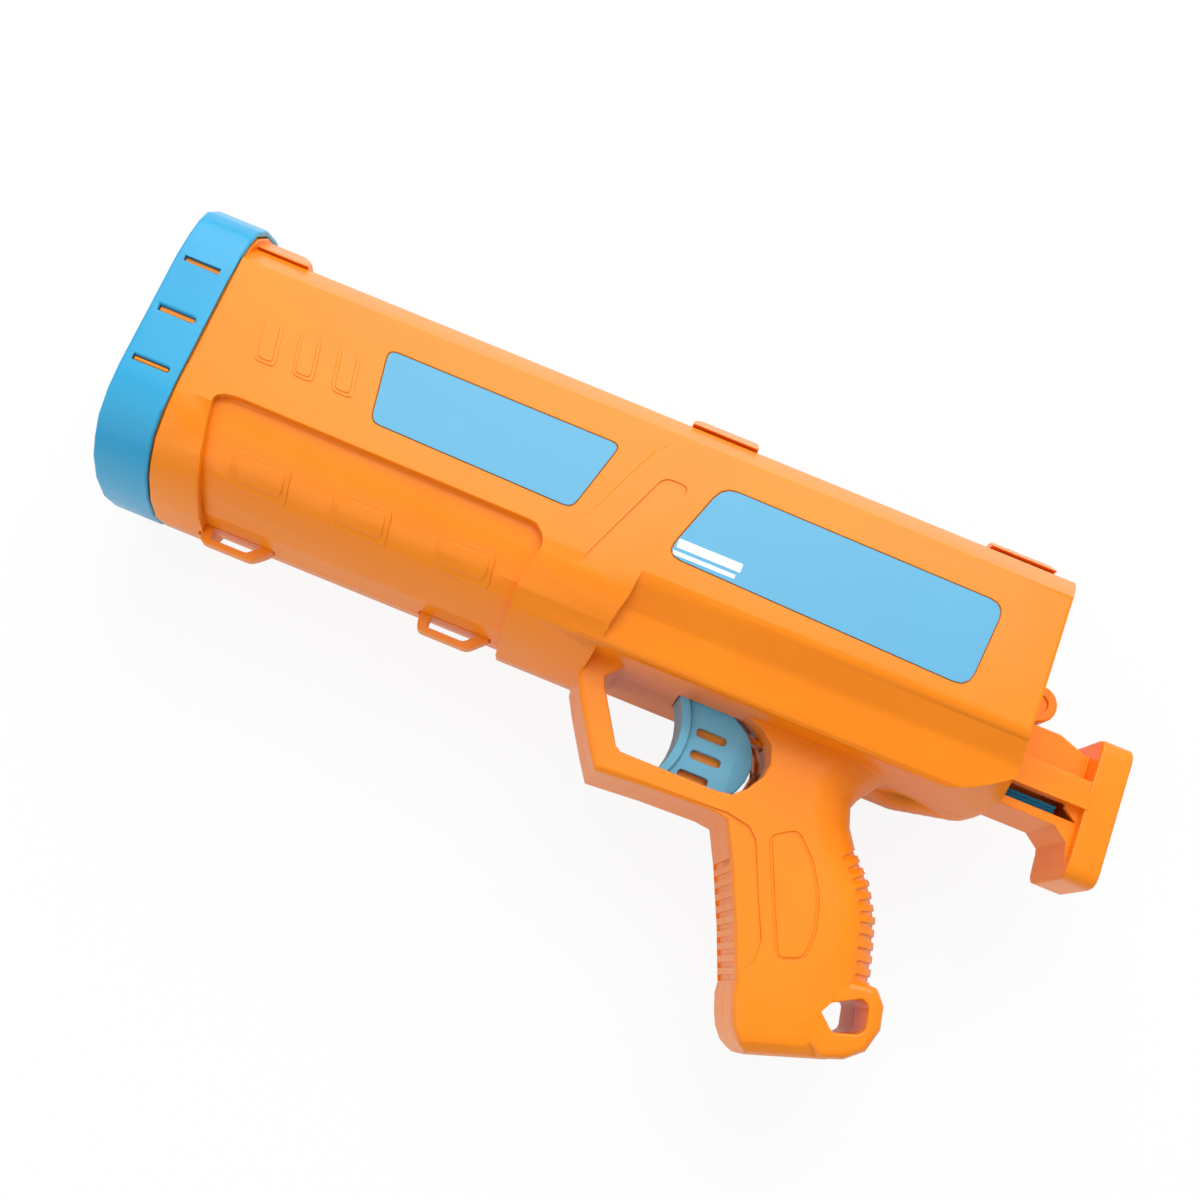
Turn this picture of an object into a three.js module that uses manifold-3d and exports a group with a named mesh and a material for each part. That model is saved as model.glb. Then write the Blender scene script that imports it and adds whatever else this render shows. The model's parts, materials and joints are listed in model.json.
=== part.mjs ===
// A spring ball launcher for throwing dog balls: two moulded housing halves with guard and grip,
// a muzzle ring, a barrel tube, a sprung piston on a draw bar, a pull handle, a trigger and a sear.
// Millimetres. Launcher axes: x runs from the muzzle to the rear, y up to the launcher's top,
// z to its left side. The launcher lies on its right side, so z also points up.

import * as THREE from 'three';
import { mergeVertices } from 'three/addons/utils/BufferGeometryUtils.js';
import Module from 'manifold-3d';

const wasm = await Module();
wasm.setup();

// Housing body
const bodyLength = 338;
const bodyHalfWidth = 46;
const crownHeight = 45.2;
const bellyDepth = 57;
const keelDepth = 47.3;
const wall = 2.6;
const rearDome = 7.5;
const beltStart = 153;
const beltEnd = 186.5;
const recessStart = 33;
const recessDepth = 3.5;
const stripTop = 13;
const panelStep = 0.8;
const stepFadeStart = 250;
const stepFadeEnd = 313;
const beltLean = 4.5;
const shoulderLength = 8;
const heelLength = 28;
const heelRise = 17;
const bumpStarts = [187.5, 303];
const bumpRises = [4, 3];
const bumpLength = 25;
const rampLength = 19;
const rampRise = 4.8;
const stripeStart = 168.5;
const stripeLength = 26.2;
const stripeDepth = 0.6;
const padStarts = [46.5, 83.3, 121.4];
const padLength = 22;
const padTop = 33;
const padHeight = 11;
const padLean = 1.2;
const padRise = 0.5;
const padEdge = 1.9;
const ridgeStarts = [36, 50, 64.5];
const ridgeWidth = 8;
const ridgeRise = 16;
const ridgeLean = 3.6;
const ridgeBase = -2.8;
const ridgeEdge = 1.2;
const ribPlaces = [60, 104, 150, 190, 240];
const ribThickness = 2.5;
const seamGap = 0.3;
const seatGap = 0.3;
const graft = 1;
const overrun = 5;

// Muzzle ring
const ringLength = 20;
const ringGap = 0.5;
const ringProud = 0.8;
const ringRise = 9.1;
const ringWall = 2.2;
const ringLip = 2.4;
const ringSlotLength = 13.3;
const ringSlotWidth = 2.2;
const ringSlotStart = 3.1;
const ringSlotPitch = 20;
const ringSlotRise = 1.5;
const slotTabHeight = 1.4;

// Barrel tube and ball catch
const barrelRadius = 33.4;
const tubeWall = 2;
const tubeStart = 6.5;
const tubeEnd = 242;
const catchLength = 3.4;
const catchNubHeight = 2.6;
const catchNubWidth = 9;
const catchNubCount = 4;
const boreClearance = 1;

// Piston, draw bar and main spring
const pullTravel = 80;
const pistonFront = 172;
const pistonRadius = 33;
const pistonDisc = 5;
const pistonSkirt = 20;
const pistonWall = 2.4;
const padThickness = 6;
const padRadius = 28;
const stemRadius = 13;
const stemWall = 2.6;
const stemLength = 48;
const lugHalfWidth = 6;
const barTop = 32.1;
const barHeight = 3.8;
const barHalfWidth = 8;
const barGroove = 1.2;
const barShortfall = 6.5;
const barHeelLength = 13;
const barHeelDrop = 0.5;
const bumperThickness = 3;
const springRadius = 18;
const springWire = 2.4;
const springTurns = 15;

// Rear bulkhead with its spring seat
const bulkheadFront = 318;
const bulkheadThickness = 4;
const seatRadius = 9.6;
const seatLength = 30;

// Pull handle
const fingerRoom = 29;
const plateThickness = 12;
const plateTop = 4;
const plateBottom = 57.5;
const plateHalfWidth = 18;
const webReach = 5;
const webTop = 6.3;
const webHalfWidth = 8;
const railReach = 93;
const railTop = 25.6;
const railBottom = 31.8;
const railInner = 13;
const railOuter = 18.5;
const shelfTop = 21.2;
const tineTop = 36.8;
const tineBottom = 40.2;
const tineHalfWidth = 14;
const stopReach = 3;
const stopRoom = 5.2;
const windowGap = 0.5;

// Trigger guard and grip
const guardHalfWidth = 19.5;
const guardEdge = 1.4;
const gripEdge = 3;
const backRoll = 17;
const baseRoll = 8;
const gripWall = 3;
const stripDepth = 0.9;
const insetGrooveWidth = 1.1;
const insetGrooveDepth = 0.6;
const ribWidth = 1.9;
const ribDepth = 0.8;
const frontRibCount = 10;
const backRibCount = 11;
const backRibReach = 9;
const gripWorksEnd = 281;
const frameStart = 183;
const frameLength = 140;
const frameDrop = 106;
const openingLength = 64.8;
const openingHeight = 28.3;
const openingStart = 192;

// Trigger, slider and sear
const triggerTravel = 5;
const triggerHalfWidth = 8;
const rimHalfWidth = 10;
const rimThickness = 3.6;
const triggerTop = 46.2;
const triggerBottom = 78.2;
const triggerFrontX = 219.4;
const triggerDish = 9.7;
const triggerDepth = 33.5;
const triggerSlotLength = 11.5;
const triggerSlotWidth = 3.2;
const triggerGap = 0.5;
const sliderHalfWidth = 5;
const nibHalfWidth = 3;
const nibCentre = 51;
const nibHeight = 1.8;
const searPivotX = 259;
const searPivotY = 39.8;
const searArm = 12;
const searToothWidth = 3.8;
const searToothRise = 0.4;
const searTail = 12;
const searHub = 3;
const searHalfWidth = 4;
const searPocketHalf = 5;
const searRoomReach = 4;
const searRoomDrop = 5.5;
const searBlockReach = 8;
const pinClearance = 0.2;
const searPinRadius = 1.3;
const searPinHalf = 9;
const sprungPocketLength = 11;
const sprungTurns = 6;
const sprungWire = 0.6;
const sprungRadius = 1.6;
const returnSpringLength = 13;

// Strap loops
const loopStarts = [38, 122];
const loopLength = 27;
const loopDepth = 6;
const loopBar = 2.2;
const loopHalfWidth = 3;
const loopFoot = 2;
const loopFootReach = 3;

// Labels
const labelThickness = 0.5;
const labelPocket = 0.8;
const frontLabelLength = 87;
const frontLabelHeight = 28.5;
const rearLabelLength = 116;
const rearLabelHeight = 34.5;
const frontLabelStart = 80;
const frontLabelDrop = 8.6;
const rearLabelStart = 194.5;
const rearLabelDrop = 14;

// Housing screws and their bosses
const screwRadius = 1.4;
const screwHeadRadius = 3;
const screwHeadHeight = 2;
const screwLength = 22;
const wellRadius = 3.6;
const wellFloor = 12;
const bossRadius = 4.6;
const bossRise = 15;
const lugRadius = 7;
const lugReach = 5.5;
const lugHeight = 1.6;
const lugHalfThickness = 8;
const lugScrewShare = 0.4;
const dimpleRadius = 3.4;
const dimpleDepth = 1;

// Facets
const roundSides = 40;
const smallSides = 12;
const cornerSteps = 3;
const arcSteps = 8;
const weldDistance = 1e-4;

const ringHalfWidth = bodyHalfWidth + ringProud;
const ringTop = crownHeight + ringRise;
const bodyStart = ringLength + ringGap;
const tubeRadius = barrelRadius + tubeWall;
const plateFront = bodyLength + fingerRoom;
const webStart = bodyLength - webReach;
const railStart = bodyLength - railReach;
const barEnd = plateFront - barShortfall;
const rearWallFront = bulkheadFront + bulkheadThickness + seatGap;
const wayHalfWidth = railOuter + stopReach + windowGap;
const stretch = bodyLength + bodyLength;

const orange = { color: 0xff931e, roughness: 0.32, metalness: 0 };
const blue = { color: 0x3fb0e0, roughness: 0.35, metalness: 0 };
const labelBlue = { color: 0x78c4e8, roughness: 0.45, metalness: 0 };
const paleGrey = { color: 0xd8d8d4, roughness: 0.5, metalness: 0 };
const foamBlack = { color: 0x2a2a2c, roughness: 0.95, metalness: 0 };
const steel = { color: 0xb8bcc0, roughness: 0.3, metalness: 1 };

// Geometry helpers

function point(x, y) {
  return new THREE.Vector2(x, y);
}

function toSolid(geometry) {
  const bare = geometry.clone();
  bare.deleteAttribute('normal');
  bare.deleteAttribute('uv');
  const merged = mergeVertices(bare, weldDistance);
  const index = merged.index.array;
  const kept = [];
  for (let i = 0; i < index.length; i += 3) {
    const [a, b, c] = index.slice(i, i + 3);
    if (a !== b && b !== c && c !== a) kept.push(a, b, c);
  }
  return new wasm.Manifold(new wasm.Mesh({
    numProp: 3,
    vertProperties: merged.attributes.position.array,
    triVerts: new Uint32Array(kept),
  }));
}

function join(solids) {
  return solids.reduce((whole, solid) => whole.add(solid));
}

function cut(whole, tools) {
  return tools.reduce((left, tool) => left.subtract(tool), whole);
}

function extruded(outline, length) {
  return new THREE.ExtrudeGeometry(new THREE.Shape(outline), { depth: length, bevelEnabled: false });
}

// Prism of an (x, y) outline along z
function prismZ(outline, from, to) {
  return toSolid(extruded(outline, to - from).translate(0, 0, from));
}

// Prism of a (z, y) outline along x
function prismX(outline, from, to) {
  const turned = outline.map((p) => point(-p.x, p.y));
  return toSolid(extruded(turned, to - from).translate(0, 0, from).rotateY(Math.PI / 2));
}

// Prism of an (x, z) outline along y
function prismY(outline, from, to) {
  return toSolid(extruded(outline, to - from).translate(0, 0, -to).rotateX(Math.PI / 2));
}

// The same prism on the left and on the right side
function bothSides(outline, from, to) {
  return [prismZ(outline, from, to), prismZ(outline, -to, -from)];
}

function box(xFrom, xTo, yFrom, yTo, zFrom, zTo) {
  const geometry = new THREE.BoxGeometry(xTo - xFrom, yTo - yFrom, zTo - zFrom);
  return toSolid(geometry.translate((xFrom + xTo) / 2, (yFrom + yTo) / 2, (zFrom + zTo) / 2));
}

// Revolved (radius, x) profile around the x axis
function turnedX(profile, sides = roundSides) {
  return toSolid(new THREE.LatheGeometry(profile, sides).rotateZ(-Math.PI / 2));
}

function discX(radius, from, to, sides = roundSides) {
  return turnedX([point(0, from), point(radius, from), point(radius, to), point(0, to)], sides);
}

function pinZ(x, y, radius, from, to, sides = smallSides) {
  const geometry = new THREE.CylinderGeometry(radius, radius, to - from, sides);
  return toSolid(geometry.rotateX(Math.PI / 2).translate(x, y, (from + to) / 2));
}

function mirrored(half) {
  const other = half.slice(1, -1).reverse().map((p) => point(-p.x, p.y));
  return [...half, ...other];
}

function scaled(shares, width, height) {
  return shares.map(([x, y]) => point(x * width, y * height));
}

function placed(shares, startX, startY, length, height) {
  return shares.map(([x, y]) => point(startX + x * length, startY + y * height));
}

function rounded(corners, radius, steps = cornerSteps) {
  const path = new THREE.Path();
  corners.forEach((corner, i) => {
    const before = corners[(i + corners.length - 1) % corners.length];
    const after = corners[(i + 1) % corners.length];
    const reach = Math.min(radius, corner.distanceTo(before) * 0.45, corner.distanceTo(after) * 0.45);
    const start = corner.clone().lerp(before, reach / corner.distanceTo(before));
    const end = corner.clone().lerp(after, reach / corner.distanceTo(after));
    if (i === 0) path.moveTo(start.x, start.y);
    else path.lineTo(start.x, start.y);
    path.quadraticCurveTo(corner.x, corner.y, end.x, end.y);
  });
  return path.getPoints(steps);
}

// Outline moved inwards by a distance, or outwards by a negative one
function inset(outline, distance) {
  const turn = Math.sign(THREE.ShapeUtils.area(outline));
  return outline.map((p, i) => {
    const before = outline[(i + outline.length - 1) % outline.length];
    const after = outline[(i + 1) % outline.length];
    const first = p.clone().sub(before).normalize();
    const second = after.clone().sub(p).normalize();
    const normals = point(-first.y - second.y, first.x + second.x);
    return p.clone().addScaledVector(normals, (turn * distance) / (1 + first.dot(second)));
  });
}

// Prism along z with its long edges rolled over by a bevel
function rolledPrism(outline, halfWidth, edge, steps) {
  const geometry = new THREE.ExtrudeGeometry(new THREE.Shape(outline), {
    depth: (halfWidth - edge) * 2,
    bevelEnabled: true,
    bevelSize: edge,
    bevelThickness: edge,
    bevelOffset: -edge,
    bevelSegments: steps,
  });
  return toSolid(geometry.translate(0, 0, edge - halfWidth));
}

// One unbroken wire around the x axis
function coilX(radius, wire, from, to, turns, stepsPerTurn, sides) {
  const count = turns * stepsPerTurn;
  const positions = [];
  const faces = [];
  const middles = [];
  for (let i = 0; i <= count; i += 1) {
    const turn = (i / stepsPerTurn) * Math.PI * 2;
    const x = THREE.MathUtils.lerp(from + wire / 2, to - wire / 2, i / count);
    const outward = new THREE.Vector3(0, Math.cos(turn), Math.sin(turn));
    const middle = outward.clone().multiplyScalar(radius).setX(x);
    middles.push(middle);
    for (let j = 0; j < sides; j += 1) {
      const angle = (j / sides) * Math.PI * 2;
      const rim = middle.clone().addScaledVector(outward, (Math.cos(angle) * wire) / 2);
      positions.push(rim.x + (Math.sin(angle) * wire) / 2, rim.y, rim.z);
      if (i < count) {
        const a = i * sides + j;
        const b = i * sides + ((j + 1) % sides);
        faces.push(a, a + sides, b, b, a + sides, b + sides);
      }
    }
  }
  for (let j = 1; j < sides - 1; j += 1) {
    const last = count * sides;
    faces.push(0, j, j + 1, last, last + j + 1, last + j);
  }
  const geometry = new THREE.BufferGeometry();
  geometry.setAttribute('position', new THREE.Float32BufferAttribute(positions, 3));
  geometry.setIndex(faces);
  let least = Infinity;
  middles.forEach((middle, i) => {
    for (let k = i + Math.ceil(stepsPerTurn / 2); k < middles.length; k += 1) {
      least = Math.min(least, middle.distanceTo(middles[k]) - wire);
    }
  });
  console.log(`coil of ${turns} turns: least gap to itself ${least.toFixed(2)} mm`);
  return toSolid(geometry);
}

// Outlines of the body, as shares of its half width and of its height above or depth below the axis
const crownShares = [[0, 1], [0.28, 0.989], [0.565, 0.951], [0.75, 0.876], [1, 0.65]];
const bellyShares = [[1, -0.385], [0.975, -0.53], [0.885, -0.71], [0.75, -0.815], [0.6, -0.895],
  [0.33, -0.968], [0, -1]];
const keelShares = [[1, -0.425], [0.992, -0.468], [0.965, -0.516], [0.86, -0.66], [0.833, -0.705],
  [0.824, -0.745], [0.785, -0.92], [0.772, -0.965], [0.735, -1], [0, -1]];
const ringTopShares = [[0, 1], [0.35, 0.98], [0.65, 0.91], [0.855, 0.8], [0.92, 0.705], [0.965, 0.58],
  [1, 0.4]];
const ringBellyShares = [[1, -0.4], [0.97, -0.56], [0.885, -0.715], [0.75, -0.82], [0.6, -0.9],
  [0.33, -0.972], [0, -1]];
const domeShares = [[0, 0], [0.4, 0.12], [0.7, 0.42], [0.88, 0.75], [0.965, 1.1], [1, 1.6]];

const frontSection = mirrored([
  ...scaled(crownShares, bodyHalfWidth, crownHeight),
  ...scaled(bellyShares, bodyHalfWidth, bellyDepth),
]);
const rearSection = mirrored([
  ...scaled(crownShares, bodyHalfWidth, crownHeight),
  ...scaled(keelShares, bodyHalfWidth, keelDepth),
]);
const ringSection = mirrored([
  ...scaled(ringTopShares, ringHalfWidth, ringTop),
  ...scaled(ringBellyShares, ringHalfWidth, bellyDepth),
]);

// Plan of the body seen from above, with its domed rear end, less a wall
function bodyPlan(thickness) {
  const rear = domeShares.map(([z, drop]) => point(
    bodyLength - thickness - drop * rearDome,
    z * (bodyHalfWidth + overrun - thickness),
  ));
  const near = rear.map((p) => point(p.x, -p.y)).reverse();
  const side = bodyHalfWidth + overrun - thickness;
  return [point(-overrun, -side), ...near.slice(0, -1), ...rear, point(-overrun, side)];
}

// Turned-up corner under the rear end, and rounded corner over it, as shares of their length and rise
const heelShares = [[0, 0], [0.12, 0.01], [0.25, 0.06], [0.4, 0.15], [0.55, 0.28], [0.7, 0.44],
  [0.85, 0.65], [1, 0.94], [1.6, 2], [1.6, -1], [0, -1]];
const shoulderShares = [[0, 1], [0.38, 0.92], [0.71, 0.71], [0.92, 0.38], [1, 0], [3, 0], [3, 3], [0, 3]];

function endCuts(thickness) {
  const heel = placed(heelShares, bodyLength - heelLength, -keelDepth, heelLength, heelRise);
  const shoulder = placed(
    shoulderShares,
    bodyLength - shoulderLength,
    crownHeight - shoulderLength,
    shoulderLength,
    shoulderLength,
  );
  return [heel, shoulder].map((outline) => prismZ(inset(outline, -thickness), -stretch, stretch));
}

// Bumps and the ramp along the top: shares of their length and rise, and of the rise across the crown
const bumpShares = [[0, -1], [0, -0.2], [0.06, 0.3], [0.18, 0.78], [0.4, 1], [0.8, 0.95], [0.92, 0.7],
  [0.98, 0.3], [1, -0.2], [1, -1]];
const rampShares = [[0, -1], [0, 1], [0.3, 0.93], [0.55, 0.75], [0.75, 0.45], [0.9, 0.08], [1, -0.4],
  [1, -1]];
const crownRiseShares = [1, 1, 0.9, 0.35, 0];

function raisedCrown(outline, rise) {
  const section = mirrored([
    ...crownShares.map(([x, y], i) => point(
      x * bodyHalfWidth,
      y * crownHeight + rise * crownRiseShares[i],
    )),
    point(bodyHalfWidth, 0),
    point(0, 0),
  ]);
  return prismZ(outline, -stretch, stretch).intersect(prismX(section, ringLength, bodyLength));
}

// The belt's rear edge leans forward on its way down, as shares of the belly's depth
const beltEdgeShares = [[0.062, -0.2], [0.056, -0.36], [0.037, -0.565], [-0.02, -0.826], [-0.079, -1.1],
  [1, -1.1], [1, -0.2]];

// Housing outside

function bodySkin() {
  const beltEdge = placed(beltEdgeShares, beltEnd, 0, bellyDepth, bellyDepth);
  const behindBelt = prismZ(beltEdge, -stretch, stretch);
  const front = prismX(frontSection, bodyStart, beltEnd + beltLean).subtract(behindBelt);
  const rear = prismX(rearSection, beltEnd - 2 * beltLean, bodyLength + overrun);
  const top = bumpStarts.map((start, i) => {
    const outline = placed(bumpShares, start, crownHeight, bumpLength, bumpRises[i]);
    return raisedCrown(outline, bumpRises[i]);
  });
  const ramp = raisedCrown(placed(rampShares, bodyStart, crownHeight, rampLength, rampRise), rampRise);
  const plan = prismY(bodyPlan(0), -stretch, stretch);
  const body = cut(join([front, rear, ramp, ...top]).intersect(plan), endCuts(0));
  const neck = prismX(inset(ringSection, ringWall + seatGap), ringLip + seatGap, bodyStart);
  const tabs = ringSlots(seatGap, ringHalfWidth - ringWall + slotTabHeight);
  return join([body, neck, ...tabs]);
}

// Long shallow recess around the belly, as shares of its length and of the belly's depth
const recessShares = [[0, -0.342], [0.06, -0.31], [0.985, -0.33], [1.02, -0.42], [0.995, -0.7], [1, -1.1],
  [0.06, -1.1], [0.05, -0.9]];

const recessOutline = rounded(
  placed(recessShares, recessStart, 0, beltStart - recessStart, bellyDepth),
  recessDepth,
);

function bellyRecess(thickness) {
  const core = prismX(inset(frontSection, recessDepth + thickness), 0, bodyLength);
  return prismZ(inset(recessOutline, -thickness), -stretch, stretch).subtract(core);
}

// Stepped pads in the recess: a low one and a smaller one on top of it
function bellyPads() {
  return padStarts.flatMap((start) => [1, 2].flatMap((level) => {
    const outline = rounded(inset([
      point(start + padLean, -padTop - padHeight),
      point(start + padLength, -padTop - padHeight),
      point(start + padLength - padLean, -padTop),
      point(start, -padTop),
    ], (level - 1) * padEdge), padEdge, 2);
    const section = inset(frontSection, recessDepth - level * padRise);
    const skin = prismX(section, start - padLength, start + 2 * padLength);
    return bothSides(outline, bodyHalfWidth / 2, bodyHalfWidth).map((pad) => pad.intersect(skin));
  }));
}

// Side faces stand back above a thin step line that climbs ahead of the belt and fades to the rear
const stepShares = [[-0.1, -1], [0.806, -1.03], [0.831, -0.96], [0.854, -0.52], [0.925, 1.67],
  [0.942, 1.89], [0.97, 2.05]];

function sideSteps() {
  const line = placed(stepShares, ringLength, 0, beltEnd - ringLength + overrun, stripTop);
  const top = line[line.length - 1].y;
  const back = bodyHalfWidth - panelStep;
  const clear = bodyHalfWidth + overrun;
  const outline = [
    ...line,
    point(stepFadeStart, top),
    point(stepFadeStart, stretch),
    point(line[0].x, stretch),
  ];
  const wedge = [
    point(stepFadeStart, back),
    point(stepFadeEnd, bodyHalfWidth),
    point(stepFadeEnd, clear),
    point(stepFadeStart, clear),
  ];
  const fades = [wedge, wedge.map((p) => point(p.x, -p.y))].map((plan) => prismY(plan, top, stretch));
  return [...bothSides(outline, back, clear), ...fades];
}

// Slanted stripe pressed into each side ahead of the rear label, as shares of its length
const stripeShares = [[0.63, 0.527], [1, 0.519], [0.573, -0.687], [0.286, -1.221], [0, -1.221],
  [0.065, -0.84]];

function stripes() {
  const corners = placed(stripeShares, stripeStart, 0, stripeLength, stripeLength);
  const outline = rounded(corners, stripeLength / 8);
  return bothSides(outline, bodyHalfWidth - stripeDepth, bodyHalfWidth + overrun);
}

// Rounded ridges on each side near the muzzle
function ridges() {
  return ridgeStarts.flatMap((start) => {
    const corners = [
      point(start + ridgeLean, ridgeBase),
      point(start + ridgeLean + ridgeWidth, ridgeBase),
      point(start + ridgeWidth, ridgeBase + ridgeRise),
      point(start, ridgeBase + ridgeRise),
    ];
    const root = bodyHalfWidth - wall;
    return [
      ...bothSides(rounded(corners, ridgeWidth / 4, 2), root, bodyHalfWidth - panelStep / 2),
      ...bothSides(rounded(inset(corners, ridgeEdge), ridgeWidth / 6, 2), root, bodyHalfWidth),
    ];
  });
}

// Guard and grip outlines, as shares of the frame's length and drop below the keel
const guardShares = [[0, 0.15], [0, -0.09], [0.031, -0.163], [0.089, -0.285], [0.125, -0.355],
  [0.275, -0.34], [0.43, -0.333], [0.6, -0.36], [0.7, -0.36], [0.78, -0.1], [0.84, 0], [0.84, 0.15]];
const gripShares = [[0.42, 0.1], [0.47, -0.335], [0.514, -0.45], [0.577, -0.64], [0.627, -0.81],
  [0.629, -0.845], [0.643, -0.9], [0.657, -0.942], [0.679, -0.978], [0.71, -1.002], [0.8, -1.1],
  [1.1, -1.1], [1.1, 0.1]];
const backShares = [[-0.45, 0.446], [0.907, 0.446], [0.879, 0.069], [0.836, 0], [0.786, -0.088],
  [0.774, -0.126], [0.788, -0.19], [0.817, -0.249], [0.879, -0.336], [0.923, -0.4415], [0.945, -0.554],
  [0.9636, -0.667], [0.973, -0.761], [0.961, -0.846], [0.914, -0.931], [0.836, -1.063], [0.836, -1.2],
  [-0.45, -1.2]];
const baseShares = [[-0.45, -1.494], [1.15, -0.82], [1.15, 0.446], [-0.45, 0.446]];
const lobeShares = [[0.807, -0.884], [0.789, -0.818], [0.796, -0.742], [0.829, -0.695], [0.886, -0.67],
  [0.936, -0.659], [0.96, -0.66], [0.988, -0.704], [0.998, -0.778], [0.979, -0.857], [0.934, -0.906],
  [0.879, -0.931]];
const insetShares = [[0.583, -0.338], [0.648, -0.284], [0.707, -0.36], [0.75, -0.46], [0.772, -0.575],
  [0.766, -0.67], [0.7, -0.702], [0.655, -0.569]];
const stripShares = [[0.35, -0.33], [0.467, -0.319], [0.529, -0.334], [0.556, -0.367], [0.607, -0.527],
  [0.652, -0.662], [0.652, -0.727], [0.624, -0.79], [0.5, -0.86]];
const frontRibShares = [[0.511, -0.44], [0.545, -0.543], [0.577, -0.64], [0.629, -0.815]];
const backRibShares = [[0.812, -0.24], [0.879, -0.336], [0.923, -0.4415], [0.945, -0.554],
  [0.962, -0.655]];
const openingShares = [[0.02, -0.32], [0, -0.2], [0.077, 0], [0.8, 0], [0.9, -0.07], [0.97, -0.22],
  [1, -0.44], [0.985, -0.62], [0.93, -0.83], [0.86, -0.97], [0.78, -1], [0.225, -1], [0.19, -0.95]];
const lanyardShares = [[0.843, -0.796], [0.859, -0.759], [0.929, -0.71], [0.949, -0.723], [0.959, -0.795],
  [0.946, -0.817], [0.886, -0.842]];

const guardOutline = placed(guardShares, frameStart, -keelDepth, frameLength, frameDrop);
const gripOutline = placed(gripShares, frameStart, -keelDepth, frameLength, frameDrop);
const backOutline = placed(backShares, frameStart, -keelDepth, frameLength, frameDrop);
const baseOutline = placed(baseShares, frameStart, -keelDepth, frameLength, frameDrop);
const lobeOutline = placed(lobeShares, frameStart, -keelDepth, frameLength, frameDrop);
const insetOutline = rounded(placed(insetShares, frameStart, -keelDepth, frameLength, frameDrop), gripEdge);
const stripOutline = placed(stripShares, frameStart, -keelDepth, frameLength, frameDrop);
const openingOutline = placed(openingShares, openingStart, -keelDepth, openingLength, openingHeight);
const lanyardOutline = placed(lanyardShares, frameStart, -keelDepth, frameLength, frameDrop);

// The grip's back is a full round and its base a smaller one
function gripRolls(shrink) {
  const half = guardHalfWidth - shrink;
  const back = rolledPrism(inset(backOutline, shrink), half, backRoll - shrink, cornerSteps + 1);
  return back.intersect(rolledPrism(inset(baseOutline, shrink), half, baseRoll - shrink, cornerSteps));
}

function guardAndGrip() {
  const guard = rolledPrism(guardOutline, guardHalfWidth, guardEdge, 1);
  const grip = rolledPrism(gripOutline, guardHalfWidth, gripEdge, 2);
  const lobe = rolledPrism(lobeOutline, guardHalfWidth - insetGrooveDepth, gripEdge, 2);
  return cut(join([join([guard, grip]).intersect(gripRolls(0)), lobe]), [...gripMarks(), ...gripRibs()]);
}

// A sunk strip along the finger side and a groove around the palm's panel
function gripMarks() {
  const strips = bothSides(stripOutline, guardHalfWidth - stripDepth, stretch);
  const outer = bothSides(insetOutline, guardHalfWidth - insetGrooveDepth, stretch);
  const inner = bothSides(inset(insetOutline, insetGrooveWidth), 0, stretch);
  return [...strips, ...outer.map((ring, i) => ring.subtract(inner[i]))];
}

// Ribs stay between grooves; those of the back follow its round surface
function gripRibs() {
  const core = rolledPrism(inset(backOutline, ribDepth), guardHalfWidth - ribDepth, backRoll - ribDepth,
    cornerSteps + 1);
  const front = ribGrooves(frontRibShares, frontRibCount, -ribDepth, -overrun);
  const back = ribGrooves(backRibShares, backRibCount, -backRibReach, overrun);
  const frontHalf = guardHalfWidth - gripEdge;
  return [
    ...front.map((outline) => prismZ(outline, -frontHalf, frontHalf)),
    ...back.map((outline) => prismZ(outline, -stretch, stretch).subtract(core)),
  ];
}

function ribGrooves(shares, count, inward, outward) {
  const edge = new THREE.SplineCurve(placed(shares, frameStart, -keelDepth, frameLength, frameDrop));
  const reach = Math.sign(outward) * Math.abs(inward);
  return Array.from({ length: count }, (unused, i) => {
    const share = (i + 0.5) / count;
    const along = edge.getTangentAt(share);
    const across = point(-along.y, along.x);
    const corners = [[-1, -reach], [1, -reach], [1, outward], [-1, outward]];
    return corners.map(([turn, out]) => edge.getPointAt(share)
      .addScaledVector(along, (turn * ribWidth) / 2)
      .addScaledVector(across, out));
  });
}

// The grip is hollow below the trigger's works and above the lanyard hole
function gripHollow() {
  const half = guardHalfWidth - gripWall;
  const room = prismZ(inset(gripOutline, gripWall), -half, half).intersect(gripRolls(gripWall));
  const works = box(0, gripWorksEnd, -triggerBottom - gripWall, 0, -stretch, stretch);
  const upper = box(0, stretch, -keelDepth, 0, -stretch, stretch);
  return cut(room, [works, upper, prismZ(inset(lanyardOutline, -gripWall), -stretch, stretch)]);
}

// Boss at the rear face, on the barrel's axis
function rearLug() {
  const half = lugHalfThickness;
  const middle = bodyLength + lugReach;
  const barrel = pinZ(middle, lugHeight, lugRadius, -half, half, roundSides / 2);
  const root = box(bodyLength - wall, middle, lugHeight - lugRadius, lugHeight + lugRadius, -half, half);
  const dimple = pinZ(middle, lugHeight, dimpleRadius, half - dimpleDepth, stretch);
  return join([barrel, root]).subtract(dimple);
}

// Housing inside

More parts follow.
